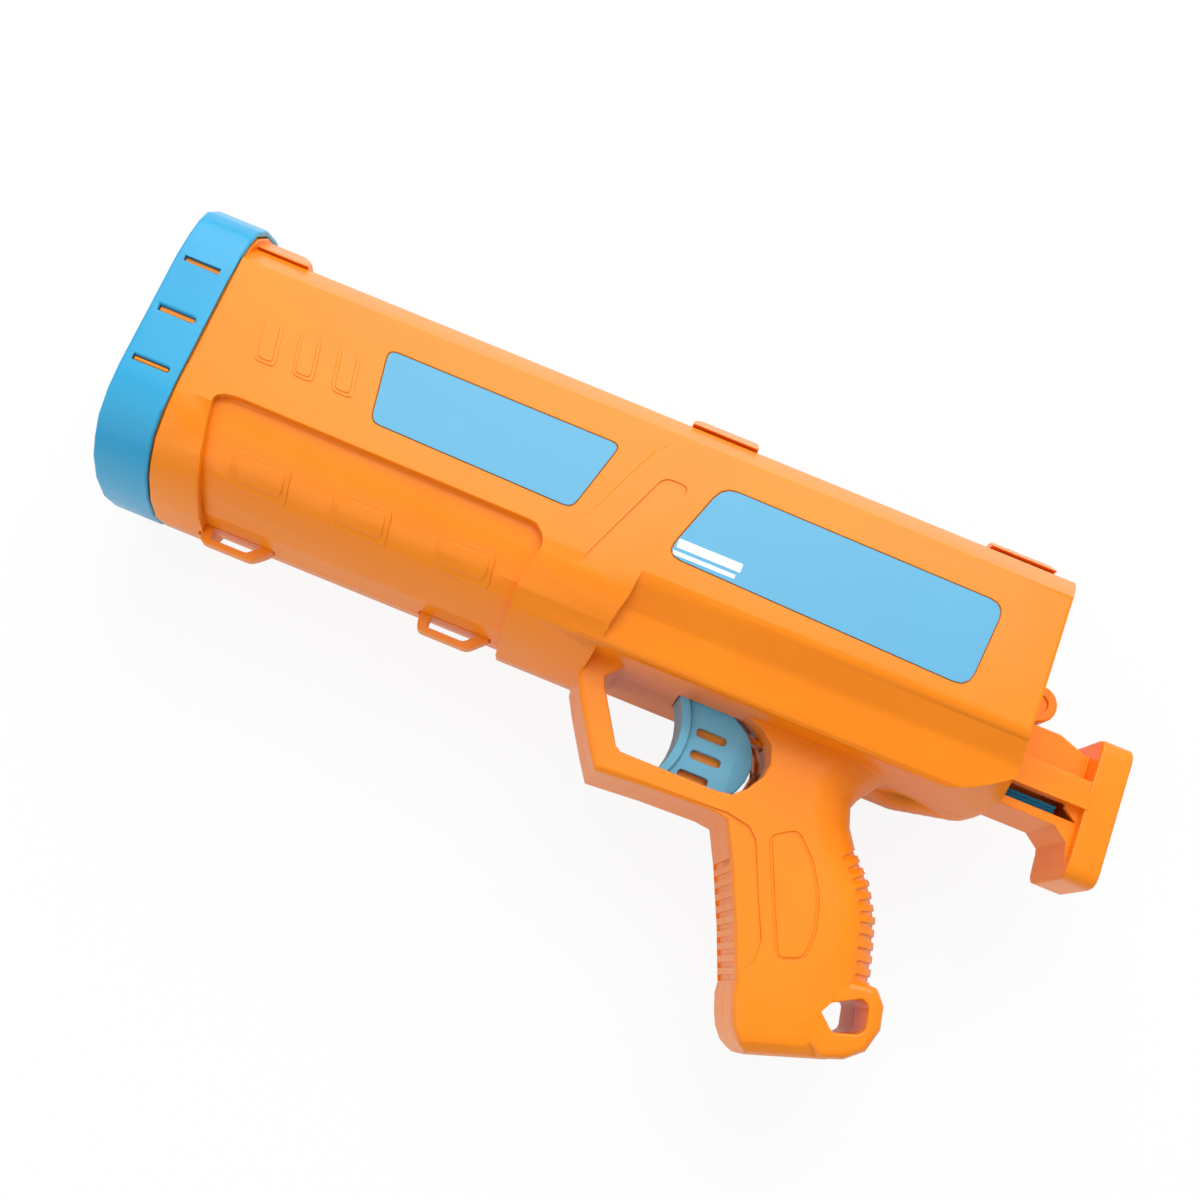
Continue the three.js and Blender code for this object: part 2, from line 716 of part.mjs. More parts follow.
function chambers() {
  const starts = [ringLip + wall, ...ribPlaces.map((x) => x + ribThickness), rearWallFront + ribThickness];
  const ends = [...ribPlaces, rearWallFront, bodyLength + overrun];
  const insideFront = inset(frontSection, wall + panelStep);
  const insideRear = inset(rearSection, wall);
  const insideNeck = inset(ringSection, ringWall + seatGap + wall);
  const rooms = starts.flatMap((start, i) => {
    if (start < ringLength) {
      return [prismX(insideNeck, start, bodyStart - wall), prismX(insideFront, bodyStart, ends[i])];
    }
    const whole = prismX(insideRear, start, ends[i]);
    const frontEnd = Math.min(ends[i], beltEnd - beltLean - wall);
    return start < frontEnd ? [whole, prismX(insideFront, start, frontEnd)] : [whole];
  });
  const plan = prismY(bodyPlan(wall + graft), -stretch, stretch);
  return cut(join(rooms).intersect(plan), [...endCuts(wall), bellyRecess(wall)]);
}

function windowProfile(gap) {
  const web = [webHalfWidth + gap, -webTop + gap];
  return mirrored([
    point(0, web[1]),
    point(web[0], web[1]),
    point(web[0], -shelfTop + gap),
    point(railOuter + gap, -shelfTop + gap),
    point(railOuter + gap, -railBottom - gap),
    point(tineHalfWidth + gap, -railBottom - gap),
    point(tineHalfWidth + gap, -tineBottom - gap),
    point(0, -tineBottom - gap),
  ]);
}

// Outline of the trigger, concave at the front for the finger and round at the rear
function triggerProfile() {
  const middle = (triggerTop + triggerBottom) / 2;
  const front = new THREE.QuadraticBezierCurve(
    point(triggerFrontX, -triggerBottom),
    point(triggerFrontX + triggerDish, -middle),
    point(triggerFrontX, -triggerTop),
  );
  const rear = new THREE.SplineCurve([
    point(triggerFrontX + triggerDepth * 0.62, -triggerTop),
    point(triggerFrontX + triggerDepth * 0.87, -triggerTop - triggerDepth * 0.16),
    point(triggerFrontX + triggerDepth, -middle + triggerDepth * 0.03),
    point(triggerFrontX + triggerDepth * 0.93, -middle - triggerDepth * 0.26),
    point(triggerFrontX + triggerDepth * 0.7, -triggerBottom),
  ]);
  return { front: front.getPoints(arcSteps), rear: rear.getPoints(arcSteps) };
}

function pockets() {
  const { front, rear } = triggerProfile();
  const path = [...front, ...rear];
  const sweep = [0, triggerTravel / 2, triggerTravel].map((x) => prismZ(
    inset(path, -triggerGap).map((p) => point(p.x + x, p.y)),
    -rimHalfWidth - triggerGap,
    rimHalfWidth + triggerGap,
  ));
  const nibSlot = box(triggerFrontX + triggerDepth / 2, searPivotX, -nibCentre - nibHeight / 2 - triggerGap,
    -nibCentre + nibHeight / 2 + triggerGap, -nibHalfWidth - triggerGap, nibHalfWidth + triggerGap);
  const searRoom = box(searPivotX - searArm - searRoomReach, searPivotX + sprungPocketLength,
    -searPivotY - searRoomDrop, -barTop - barHeight + graft, -searPocketHalf, searPocketHalf);
  const tailRoom = box(searPivotX - searHub, searPivotX + sprungPocketLength,
    -searPivotY - searTail - searHub / 2, -searPivotY, -searPocketHalf, searPocketHalf);
  const pinHole = pinZ(searPivotX, -searPivotY, searPinRadius + pinClearance, -searPinHalf - seatGap,
    searPinHalf + seatGap);
  const springEnd = triggerFrontX + triggerDepth + returnSpringLength + 2 * seatGap;
  const boreRadius = sprungRadius + sprungWire / 2 + seatGap;
  const springBore = discX(boreRadius, springEnd - returnSpringLength, springEnd, smallSides)
    .translate([0, -(triggerTop + triggerBottom) / 2, 0]);
  return [...sweep, nibSlot, searRoom, tailRoom, pinHole, springBore];
}

// Block of moulding around the sear, standing on the keel
function searBlock() {
  const end = searPivotX + sprungPocketLength + wall;
  return box(searPivotX - searArm - searBlockReach, end, -keelDepth, -barTop, -railInner, railInner);
}

const topScrewHeight = tubeRadius + seatGap + wellRadius;
const screwSpots = [
  [bodyLength * 0.115, topScrewHeight],
  [bodyLength * 0.38, topScrewHeight],
  [bodyLength * 0.66, topScrewHeight],
  [bodyLength * 0.9, topScrewHeight * 0.75],
  [bodyLength * 0.25, -topScrewHeight - wall],
  [frameStart + frameLength * 0.69, -keelDepth - frameDrop * 0.17],
  [frameStart + frameLength * 0.76, -keelDepth - frameDrop * 0.89],
  [bodyLength + lugReach, lugHeight],
];

// Each boss stands on the nearest wall by a web
function bosses(radius, from, to) {
  return screwSpots.flatMap(([x, y]) => [
    pinZ(x, y, radius, from, to),
    box(x - wall / 2, x + wall / 2, Math.min(y, y * 2), Math.max(y, y * 2), from, to),
  ]);
}

// The lug is thinner than the body, so its screw is shorter
function screwShare(x) {
  return x > bodyLength ? lugScrewShare : 1;
}

function wells() {
  return screwSpots.flatMap(([x, y]) => [
    pinZ(x, y, wellRadius, -stretch, -wellFloor * screwShare(x)),
    pinZ(x, y, screwRadius + seatGap, -bodyHalfWidth, 0),
  ]);
}

function pilots() {
  return screwSpots.map(([x, y]) => {
    const end = (screwLength - wellFloor + graft) * screwShare(x);
    return pinZ(x, y, screwRadius + seatGap, -overrun, end);
  });
}

function loopWays() {
  return loopStarts.map((start) => {
    const middle = start + loopLength / 2;
    const half = loopLength / 2 + seatGap;
    const footHalf = half + loopFootReach;
    const side = loopHalfWidth + seatGap;
    const inside = -bellyDepth + recessDepth + wall;
    return join([
      box(middle - half, middle + half, -stretch, inside + overrun, -side, side),
      box(middle - footHalf, middle + footHalf, inside, inside + loopFoot + seatGap + overrun, -side, side),
    ]);
  });
}

// Corners of the two labels, as shares of their length and height
const frontLabelShares = [[0.056, 0.028], [0.916, -0.025], [1, 0.968], [0, 0.979]];
const rearLabelShares = [[0, 0.055], [0.971, -0.046], [1, 0.919], [0.09, 0.954]];

function frontLabelOutline(shrink) {
  const height = frontLabelHeight;
  const corners = placed(frontLabelShares, frontLabelStart, -frontLabelDrop, frontLabelLength, height);
  return rounded(inset(corners, shrink), height / 9);
}

function rearLabelOutline(shrink) {
  const height = rearLabelHeight;
  const corners = placed(rearLabelShares, rearLabelStart, -rearLabelDrop, rearLabelLength, height);
  return rounded(inset(corners, shrink), height / 6);
}

function housings() {
  const pressed = cut(bodySkin(), [bellyRecess(0), ...sideSteps(), ...stripes()]);
  const outside = join([pressed, ...bellyPads(), ...ridges(), guardAndGrip(), rearLug()]);
  const wayFloor = -barTop - barHeight - windowGap;
  const mechanismWay = box(ribPlaces[3] - overrun, rearWallFront + overrun, wayFloor, -shelfTop + graft,
    -wayHalfWidth, wayHalfWidth);
  const barSide = barHalfWidth + boreClearance;
  const barWay = box(pistonFront - bumperThickness - graft, ribPlaces[4] + overrun,
    wayFloor, -barTop + overrun, -barSide, barSide);
  const window = prismX(windowProfile(windowGap), rearWallFront - graft, stretch);
  const tubeWay = discX(tubeRadius + seatGap, 0, tubeEnd + seatGap);
  const pistonWay = discX(pistonRadius + boreClearance, tubeEnd, rearWallFront - bulkheadThickness);
  const hollow = cut(join([chambers(), gripHollow()]), [searBlock()]);
  const ways = [mechanismWay, barWay, window, tubeWay, pistonWay, ...pockets(), ...loopWays(),
    prismZ(openingOutline, -stretch, stretch), prismZ(lanyardOutline, -stretch, stretch)];
  const leftSpace = box(-overrun, stretch, -stretch, stretch, seamGap / 2, stretch);
  const rightSpace = box(-overrun, stretch, -stretch, stretch, -stretch, -seamGap / 2);
  const leftHollow = cut(hollow, bosses(bossRadius, -overrun, bossRise));
  const rightHollow = cut(hollow, bosses(bossRadius + boreClearance, -bodyHalfWidth, overrun));
  const left = cut(outside.intersect(leftSpace), [leftHollow, ...ways, ...pilots(), ...labelPockets()]);
  const right = cut(outside.intersect(rightSpace), [rightHollow, ...ways, ...wells()]);
  return { left, right };
}

function labelPockets() {
  return [
    prismZ(frontLabelOutline(0), bodyHalfWidth - panelStep - labelPocket, stretch),
    prismZ(rearLabelOutline(0), bodyHalfWidth - labelPocket, stretch),
  ];
}

// Slots through the sides of the ring, or the smaller tabs that catch in them
function ringSlots(gap, reach) {
  return [-1, 0, 1].map((row) => {
    const y = ringSlotRise + row * ringSlotPitch;
    const half = ringSlotWidth / 2 - gap;
    const end = ringSlotStart + ringSlotLength;
    return box(ringSlotStart + gap, end - gap, y - half, y + half, -reach, reach);
  });
}

// Pieces that don't move

function muzzleRing() {
  const shell = prismX(ringSection, 0, ringLength);
  const inside = prismX(inset(ringSection, ringWall), ringLip, ringLength + overrun);
  const bore = discX(barrelRadius + boreClearance, -overrun, ringLip + overrun);
  return cut(shell, [inside, bore, ...ringSlots(0, stretch)]);
}

function barrelTube() {
  const tube = turnedX([
    point(barrelRadius, tubeStart),
    point(tubeRadius, tubeStart),
    point(tubeRadius, tubeEnd),
    point(barrelRadius, tubeEnd),
    point(barrelRadius, tubeStart),
  ]);
  const side = barHalfWidth + boreClearance;
  const slot = box(pistonFront - bumperThickness - 2 * seatGap, tubeEnd + overrun, -tubeRadius - overrun,
    -barrelRadius * 0.7, -side, side);
  return tube.subtract(slot);
}

function ballCatch() {
  const start = ringLip + seatGap;
  const end = start + catchLength;
  const ring = turnedX([
    point(barrelRadius, start),
    point(tubeRadius, start),
    point(tubeRadius, end),
    point(barrelRadius, end),
    point(barrelRadius, start),
  ]);
  const hole = discX(barrelRadius - catchNubHeight, 0, end + overrun);
  const nubs = Array.from({ length: catchNubCount }, (unused, i) => {
    const turn = ((i + 0.5) / catchNubCount) * Math.PI * 2;
    const nub = new THREE.BoxGeometry(catchLength, catchNubHeight * 2 + tubeWall, catchNubWidth);
    nub.translate((start + end) / 2, barrelRadius, 0).rotateX(turn);
    return toSolid(nub);
  });
  const limit = discX(tubeRadius, start, end);
  return join([ring, ...nubs.map((nub) => nub.intersect(limit))]).subtract(hole);
}

function rearBulkhead() {
  const section = inset(rearSection, wall + seatGap);
  const whole = prismX(section, bulkheadFront, bulkheadFront + bulkheadThickness);
  const lower = box(0, stretch, -stretch, -shelfTop + windowGap, -stretch, stretch);
  const seat = discX(seatRadius, bulkheadFront - seatLength, bulkheadFront + overrun / 2, 2 * smallSides);
  const around = bossRadius + boreClearance + seatGap;
  const plan = prismY(bodyPlan(wall + graft + seatGap), -stretch, stretch);
  return cut(
    join([whole.subtract(lower).intersect(plan), seat]),
    screwSpots.map(([x, y]) => pinZ(x, y, around, -stretch, stretch)),
  );
}

function strapLoop(start) {
  const skin = -bellyDepth + recessDepth;
  const bottom = skin - loopDepth;
  const footBase = skin + wall + seatGap;
  const outer = rounded([
    point(start, skin),
    point(start + loopBar / 2, bottom),
    point(start + loopLength * 0.78, bottom),
    point(start + loopLength, skin),
    point(start + loopLength, footBase + loopFoot),
    point(start, footBase + loopFoot),
  ], loopBar);
  const slot = rounded([
    point(start + loopBar * 2, skin + seatGap),
    point(start + loopBar * 2, bottom + loopBar),
    point(start + loopLength * 0.68, bottom + loopBar),
    point(start + loopLength - loopBar * 2, skin + seatGap),
  ], loopBar / 2);
  const bar = prismZ(outer, -loopHalfWidth, loopHalfWidth);
  const foot = box(start - loopFootReach, start + loopLength + loopFootReach, footBase, footBase + loopFoot,
    -loopHalfWidth, loopHalfWidth);
  return join([bar, foot]).subtract(prismZ(slot, -stretch, stretch));
}

function frontLabel() {
  const top = bodyHalfWidth - panelStep;
  return prismZ(frontLabelOutline(seatGap), top - labelThickness, top);
}

function rearLabel() {
  return prismZ(rearLabelOutline(seatGap), bodyHalfWidth - labelThickness, bodyHalfWidth);
}

function housingScrew([x, y]) {
  const seat = -wellFloor * screwShare(x) - seatGap;
  const head = pinZ(x, y, screwHeadRadius, seat - screwHeadHeight, seat);
  const shank = pinZ(x, y, screwRadius, seat - screwHeadHeight / 2, seat + screwLength * screwShare(x));
  return join([head, shank]);
}

// Pieces that move with the pull

function pullHandle() {
  const plateMiddle = (plateTop + plateBottom) / 2;
  const plateHalf = (plateBottom - plateTop) / 2;
  const plateOutline = rounded([
    point(-plateHalfWidth, -plateMiddle - plateHalf),
    point(plateHalfWidth, -plateMiddle - plateHalf),
    point(plateHalfWidth, -plateMiddle + plateHalf),
    point(-plateHalfWidth, -plateMiddle + plateHalf),
  ], plateHalfWidth / 3);
  const plate = prismX(plateOutline, plateFront, plateFront + plateThickness);
  const rootEnd = plateFront + graft;
  const web = prismZ([
    point(webStart, -shelfTop - graft),
    point(webStart, -webTop),
    point(plateFront - plateThickness, -webTop),
    point(rootEnd, -webTop - plateThickness * 0.4),
    point(rootEnd, -shelfTop - graft),
  ], -webHalfWidth, webHalfWidth);
  const shelfSide = railOuter - graft;
  const shelf = box(webStart, rootEnd, -railTop - graft, -shelfTop, -shelfSide, shelfSide);
  const rails = [-1, 1].map((side) => {
    const inner = Math.min(side * railInner, side * railOuter);
    const outer = Math.max(side * railInner, side * railOuter);
    return box(railStart, rootEnd, -railBottom, -railTop, inner, outer);
  });
  const stops = [-1, 1].map((side) => {
    const inner = Math.min(side * railInner, side * (railOuter + stopReach));
    const outer = Math.max(side * railInner, side * (railOuter + stopReach));
    return box(railStart, bodyLength - pullTravel - stopRoom, -railBottom, -railTop, inner, outer);
  });
  const tine = prismZ([
    point(webStart, -tineTop),
    point(webStart, -tineBottom),
    point(plateFront - plateThickness * 0.6, -tineBottom),
    point(plateFront - plateThickness * 0.15, -tineBottom - plateThickness * 0.35),
    point(plateFront, -tineBottom - plateThickness),
    point(rootEnd, -tineBottom - plateThickness),
    point(rootEnd, -tineTop),
  ], -tineHalfWidth, tineHalfWidth);
  const gussets = [-1, 1].map((side) => {
    const inner = Math.min(side * (tineHalfWidth - wall), side * tineHalfWidth);
    const outer = Math.max(side * (tineHalfWidth - wall), side * tineHalfWidth);
    return prismZ([
      point(barEnd + graft, -railTop - graft),
      point(barEnd + graft, -railBottom - graft),
      point(rootEnd, -tineTop - graft),
      point(rootEnd, -railTop - graft),
    ], inner, outer);
  });
  return join([plate, web, shelf, ...rails, ...stops, tine, ...gussets]);
}

function piston() {
  const front = pistonFront;
  const disc = turnedX([
    point(0, front),
    point(pistonRadius, front),
    point(pistonRadius, front + pistonSkirt),
    point(pistonRadius - pistonWall, front + pistonSkirt),
    point(pistonRadius - pistonWall, front + pistonDisc),
    point(stemRadius, front + pistonDisc),
    point(stemRadius, front + stemLength),
    point(stemRadius - stemWall, front + stemLength),
    point(stemRadius - stemWall, front + pistonDisc),
    point(0, front + pistonDisc),
  ]);
  const chord = box(front - graft, front + stemLength + graft,
    -stretch, -shelfTop - 2 * graft, -stretch, stretch);
  const foot = -barTop - barHeight;
  const lug = box(front, front + pistonSkirt, foot, -stemRadius, -lugHalfWidth, lugHalfWidth);
  const spool = discX(springRadius + springWire, front + pistonDisc, front + stemLength + graft);
  return join([disc.subtract(chord), lug.subtract(spool)]);
}

function pistonPad() {
  const end = pistonFront - seatGap;
  const crown = padThickness / 3;
  return turnedX([
    point(0, end),
    point(padRadius * 0.8, end),
    point(padRadius * 0.8, end - padThickness + crown),
    point(padRadius * 0.6, end - padThickness),
    point(0, end - padThickness),
  ].reverse());
}

function drawBar() {
  const start = pistonFront + pistonSkirt + seatGap;
  const top = -barTop;
  const bottom = top - barHeight;
  const middle = (top + bottom) / 2;
  const bar = box(start, barEnd, bottom, top, -barHalfWidth, barHalfWidth);
  const grooves = [-1, 1].map((side) => {
    const inner = Math.min(side * (barHalfWidth - barGroove), side * stretch);
    const outer = Math.max(side * (barHalfWidth - barGroove), side * stretch);
    const half = barHeight / 6;
    return box(start - graft, stretch, middle - half, middle + half, inner, outer);
  });
  const heel = box(barEnd - barHeelLength, barEnd, bottom - barHeelDrop, bottom + graft, -barHalfWidth,
    barHalfWidth);
  return join([cut(bar, grooves), heel]);
}

function pistonBumper() {
  const end = pistonFront - seatGap;
  return box(end - bumperThickness + seatGap, end, -barTop - barHeight, -barrelRadius * 0.82, -barHalfWidth,
    barHalfWidth);
}

function mainSpring() {
  return coilX(springRadius, springWire, pistonFront + pistonDisc + seatGap, bulkheadFront - seatGap,
    springTurns, 8, 5);
}

// Trigger and sear

function trigger() {
  const { front, rear } = triggerProfile();
  const body = prismZ([...front, ...rear], -triggerHalfWidth, triggerHalfWidth);
  const back = [...front].reverse().map((p) => point(p.x + rimThickness, p.y));
  const rim = prismZ([...front, ...back], -rimHalfWidth, rimHalfWidth);
  const creaseX = triggerFrontX + triggerDepth * 0.8;
  const tail = triggerFrontX + triggerDepth + graft;
  const taper = prismY([
    point(triggerFrontX - graft, -stretch),
    point(creaseX, -stretch),
    point(creaseX, -triggerHalfWidth),
    point(tail, -sliderHalfWidth - graft),
    point(tail, sliderHalfWidth + graft),
    point(creaseX, triggerHalfWidth),
    point(creaseX, stretch),
    point(triggerFrontX - graft, stretch),
  ], -stretch, stretch);
  const inside = back.map((p) => point(p.x + seatGap, p.y));
  const room = prismZ([
    point(creaseX, -triggerTop + graft),
    point(inside[0].x, -triggerTop + graft),
    ...inside,
    point(inside[inside.length - 1].x, -triggerBottom - graft),
    point(creaseX, -triggerBottom - graft),
  ], -sliderHalfWidth - seatGap, sliderHalfWidth + seatGap);
  const nibFloor = -nibCentre - nibHeight / 2 - seatGap;
  const nibSide = nibHalfWidth + seatGap;
  const nibRoom = box(creaseX - graft, tail + graft, nibFloor, -triggerTop + graft, -nibSide, nibSide);
  return cut(join([body.intersect(taper), rim]), [room, nibRoom, ...triggerSlots()]);
}

const triggerSlotShares = [[0.48, 0.32], [0.5, 0.575], [0.44, 0.828]];

function triggerSlots() {
  const height = triggerBottom - triggerTop;
  return triggerSlotShares.map(([x, y]) => {
    const middle = point(triggerFrontX + triggerDepth * x, -triggerTop - height * y);
    const outline = rounded([
      point(middle.x - triggerSlotLength / 2, middle.y - triggerSlotWidth / 2),
      point(middle.x + triggerSlotLength / 2, middle.y - triggerSlotWidth / 2),
      point(middle.x + triggerSlotLength / 2, middle.y + triggerSlotWidth / 2),
      point(middle.x - triggerSlotLength / 2, middle.y + triggerSlotWidth / 2),
    ], triggerSlotWidth / 2);
    return prismZ(outline, -stretch, stretch);
  });
}

function triggerSlider() {
  const { front } = triggerProfile();
  const face = [...front].map((p) => point(p.x + rimThickness + 2 * seatGap, p.y))
    .filter((p) => p.y < -triggerTop - graft && p.y > -triggerBottom + graft);
  const creaseX = triggerFrontX + triggerDepth * 0.8 - seatGap;
  const block = prismZ([
    ...face,
    point(creaseX, face[face.length - 1].y),
    point(creaseX, face[0].y),
  ], -sliderHalfWidth, sliderHalfWidth);
  const nibEnd = searPivotX - searHub / 2 - seatGap;
  const nib = box(creaseX - 2 * graft, nibEnd, -nibCentre - nibHeight / 2, -nibCentre + nibHeight / 2,
    -nibHalfWidth, nibHalfWidth);
  return join([block, nib]);
}

function sear() {
  const x = searPivotX;
  const y = -searPivotY;
  const lever = prismZ([
    point(x - searArm, y + searToothRise),
    point(x - searArm, y + searHub + searToothRise),
    point(x - searArm + searToothWidth, y + searHub + searToothRise),
    point(x - searArm + searToothWidth + graft, y + searHub / 2),
    point(x, y + searHub),
    point(x + searHub / 2, y),
    point(x + searHub / 2, y - searTail),
    point(x - searHub / 2, y - searTail),
    point(x - searHub / 2, y - searHub * 0.9),
    point(x - searHub * 0.9, y + searToothRise),
  ], -searHalfWidth, searHalfWidth);
  const hub = pinZ(x, y, searHub, -searHalfWidth, searHalfWidth);
  const hole = pinZ(x, y, searPinRadius + pinClearance, -stretch, stretch);
  return join([lever, hub]).subtract(hole);
}

function searPin() {
  return pinZ(searPivotX, -searPivotY, searPinRadius, -searPinHalf, searPinHalf);
}

function smallSpring(from, to, y) {
  return coilX(sprungRadius, sprungWire, from, to, sprungTurns, 8, 5).translate([0, y, 0]);
}

function triggerSpring() {
  const start = triggerFrontX + triggerDepth + seatGap;
  return smallSpring(start, start + returnSpringLength, -(triggerTop + triggerBottom) / 2);
}

function searSpring() {
  const start = searPivotX + searHub / 2 + seatGap;
  return smallSpring(start, searPivotX + sprungPocketLength - seatGap, -searPivotY - searTail / 2);
}

// Whole launcher

const launcher = new THREE.Group();

function add(name, solid, look) {
  const { vertProperties, triVerts } = solid.getMesh();
  const geometry = new THREE.BufferGeometry();
  geometry.setAttribute('position', new THREE.BufferAttribute(vertProperties, 3));
  geometry.setIndex(new THREE.BufferAttribute(triVerts, 1));
  geometry.computeVertexNormals();
  const mesh = new THREE.Mesh(geometry, new THREE.MeshStandardMaterial(look));
  mesh.name = name;
  launcher.add(mesh);
}

const { left, right } = housings();
add('left_housing', left, orange);
add('right_housing', right, orange);
add('muzzle_ring', muzzleRing(), blue);
add('barrel_tube', barrelTube(), paleGrey);
add('ball_catch_ring', ballCatch(), foamBlack);
add('rear_bulkhead', rearBulkhead(), paleGrey);
add('front_strap_loop', strapLoop(loopStarts[0]), orange);
add('rear_strap_loop', strapLoop(loopStarts[1]), orange);
add('front_label', frontLabel(), labelBlue);
add('rear_label', rearLabel(), labelBlue);
add('piston', piston(), paleGrey);
add('piston_pad', pistonPad(), foamBlack);
add('piston_bumper', pistonBumper(), foamBlack);
add('draw_bar', drawBar(), blue);
add('main_spring', mainSpring(), steel);
add('pull_handle', pullHandle(), orange);
add('trigger', trigger(), blue);
add('trigger_slider', triggerSlider(), orange);
add('trigger_spring', triggerSpring(), steel);
add('sear', sear(), paleGrey);
add('sear_pin', searPin(), steel);
add('sear_spring', searSpring(), steel);
screwSpots.forEach((spot, i) => add(`housing_screw_${i + 1}`, housingScrew(spot), steel));

// At rest it lies on its right side, centred over the origin
const bounds = new THREE.Box3().setFromObject(launcher);
const middle = bounds.getCenter(new THREE.Vector3());
launcher.position.set(-middle.x, -middle.y, -bounds.min.z);

export default launcher;
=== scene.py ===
import math

import bmesh
import bpy
from mathutils import Matrix, Vector
from mathutils.bvhtree import BVHTree
from mathutils.kdtree import KDTree
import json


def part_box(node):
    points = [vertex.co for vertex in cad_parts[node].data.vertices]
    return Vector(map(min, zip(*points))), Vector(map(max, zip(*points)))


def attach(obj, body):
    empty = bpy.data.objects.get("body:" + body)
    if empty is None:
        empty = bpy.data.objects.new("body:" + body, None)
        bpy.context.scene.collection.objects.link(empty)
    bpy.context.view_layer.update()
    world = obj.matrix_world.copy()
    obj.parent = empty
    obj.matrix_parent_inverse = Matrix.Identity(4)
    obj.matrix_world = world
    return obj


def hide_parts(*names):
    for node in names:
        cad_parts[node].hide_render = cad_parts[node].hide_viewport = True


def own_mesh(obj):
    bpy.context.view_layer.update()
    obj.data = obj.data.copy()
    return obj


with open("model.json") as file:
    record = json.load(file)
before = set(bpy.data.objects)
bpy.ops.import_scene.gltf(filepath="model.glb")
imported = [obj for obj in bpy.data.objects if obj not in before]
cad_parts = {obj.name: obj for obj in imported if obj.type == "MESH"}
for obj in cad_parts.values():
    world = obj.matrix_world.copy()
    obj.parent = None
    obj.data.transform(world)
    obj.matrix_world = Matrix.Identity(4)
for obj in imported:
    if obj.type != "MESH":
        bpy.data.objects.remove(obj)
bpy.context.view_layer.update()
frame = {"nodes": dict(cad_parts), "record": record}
scene = bpy.context.scene
mm = 0.001

# Launcher places: x back from the muzzle, y up from the barrel's axis, z left from the parting plane
ringLow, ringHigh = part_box("muzzle_ring")
tubeLow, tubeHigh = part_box("barrel_tube")
launcherZero = Vector((ringLow.x, (tubeLow.y + tubeHigh.y) / 2, (ringLow.z + ringHigh.z) / 2))
bodyOf = {node: body for body, nodes in frame["record"]["behaviour"]["bodies"].items() for node in nodes}
slotOf = {part["node"]: part["material_slot"] for part in frame["record"]["subparts"]}


def spot(x, y, z=0.0):
    return launcherZero + Vector((x, y, z)) * mm


def added(name, data):
    piece = bpy.data.objects.new(name, data)
    scene.collection.objects.link(piece)
    return piece


# Node trees

class Value:
    def __init__(self, graph, socket):
        self.graph = graph
        self.socket = socket

    def calc(self, operation, *terms):
        return self.graph.node("ShaderNodeMath", {"operation": operation}, dict(enumerate(terms)))

    def __add__(self, other):
        return self.calc("ADD", self, other)

    def __radd__(self, other):
        return self.calc("ADD", other, self)

    def __sub__(self, other):
        return self.calc("SUBTRACT", self, other)

    def __rsub__(self, other):
        return self.calc("SUBTRACT", other, self)

    def __mul__(self, other):
        return self.calc("MULTIPLY", self, other)

    def __abs__(self):
        return self.calc("ABSOLUTE", self)

    def clamped(self):
        return self.calc("MINIMUM", self.calc("MAXIMUM", self, 0.0), 1.0)

    def below(self, edge, softness):  # 1 under the edge, 0 over it, with a soft change
        return ((edge - self) * (1.0 / softness) + 0.5).clamped()


class Graph:
    def __init__(self, tree):
        self.tree = tree
        self.tree.nodes.clear()

    def node(self, kind, settings=None, inputs=None, output=0):
        made = self.tree.nodes.new(kind)
        for key, value in (settings or {}).items():
            setattr(made, key, value)
        for key, value in (inputs or {}).items():
            for one in value if isinstance(value, list) else [value]:
                if isinstance(one, Value):
                    self.tree.links.new(one.socket, made.inputs[key])
                else:
                    made.inputs[key].default_value = one
        return Value(self, made.outputs[output]) if len(made.outputs) else None

    def place(self):
        return self.node("ShaderNodeTexCoord", output="Object")

    def noise(self, size, detail=2.0):  # size of its patches in mm
        inputs = {"Vector": self.place(), "Scale": 1.0 / (size * mm), "Detail": detail}
        return self.node("ShaderNodeTexNoise", {}, inputs)

    def mix(self, amount, first, second):
        return self.node("ShaderNodeMix", {"data_type": "RGBA"}, {0: amount, 6: first, 7: second}, output=2)

    def surface(self, inputs):
        shader = self.node("ShaderNodeBsdfPrincipled", {}, inputs)
        self.node("ShaderNodeOutputMaterial", {}, {"Surface": shader})

    def bump(self, height):
        return self.node("ShaderNodeBump", {}, {"Strength": 1.0, "Distance": mm, "Height": height})


def material(name):
    made = bpy.data.materials.new(name)
    made.use_nodes = True
    return made, Graph(made.node_tree)


def linear(red, green, blue):  # from the 0 to 255 values of a colour picker
    def channel(value):
        share = value / 255
        return share / 12.92 if share <= 0.04045 else ((share + 0.055) / 1.055) ** 2.4
    return (channel(red), channel(green), channel(blue), 1.0)


# Finishes

orangeLook = {
    "deep": (244, 130, 6), "bright": (255, 146, 12), "cloudSize": 60, "flowSize": 26, "grainSize": 0.5,
    "roughness": 0.33, "roughnessSwing": 0.12, "flowHeight": 0.16, "grainHeight": 0.003, "coat": 0.12,
    "shine": 0.3, "coatRoughness": 0.16,
}
blueLook = {
    "deep": (36, 158, 206), "bright": (46, 168, 216), "cloudSize": 40, "flowSize": 20, "grainSize": 0.5,
    "roughness": 0.36, "roughnessSwing": 0.12, "flowHeight": 0.1, "grainHeight": 0.003, "coat": 0.15,
    "shine": 0.35, "coatRoughness": 0.2,
}
# The trigger's blue is a lighter copy of the blue plastic: painted light that makes up for the shade under
# the trigger guard
triggerPaintedLightLook = {**blueLook, "deep": (100, 186, 224), "bright": (110, 194, 230)}
greyLook = {
    "deep": (196, 197, 194), "bright": (210, 210, 206), "cloudSize": 30, "flowSize": 15, "grainSize": 0.5,
    "roughness": 0.42, "roughnessSwing": 0.1, "flowHeight": 0.06, "grainHeight": 0.006, "coat": 0.1,
    "shine": 0.5, "coatRoughness": 0.2,
}
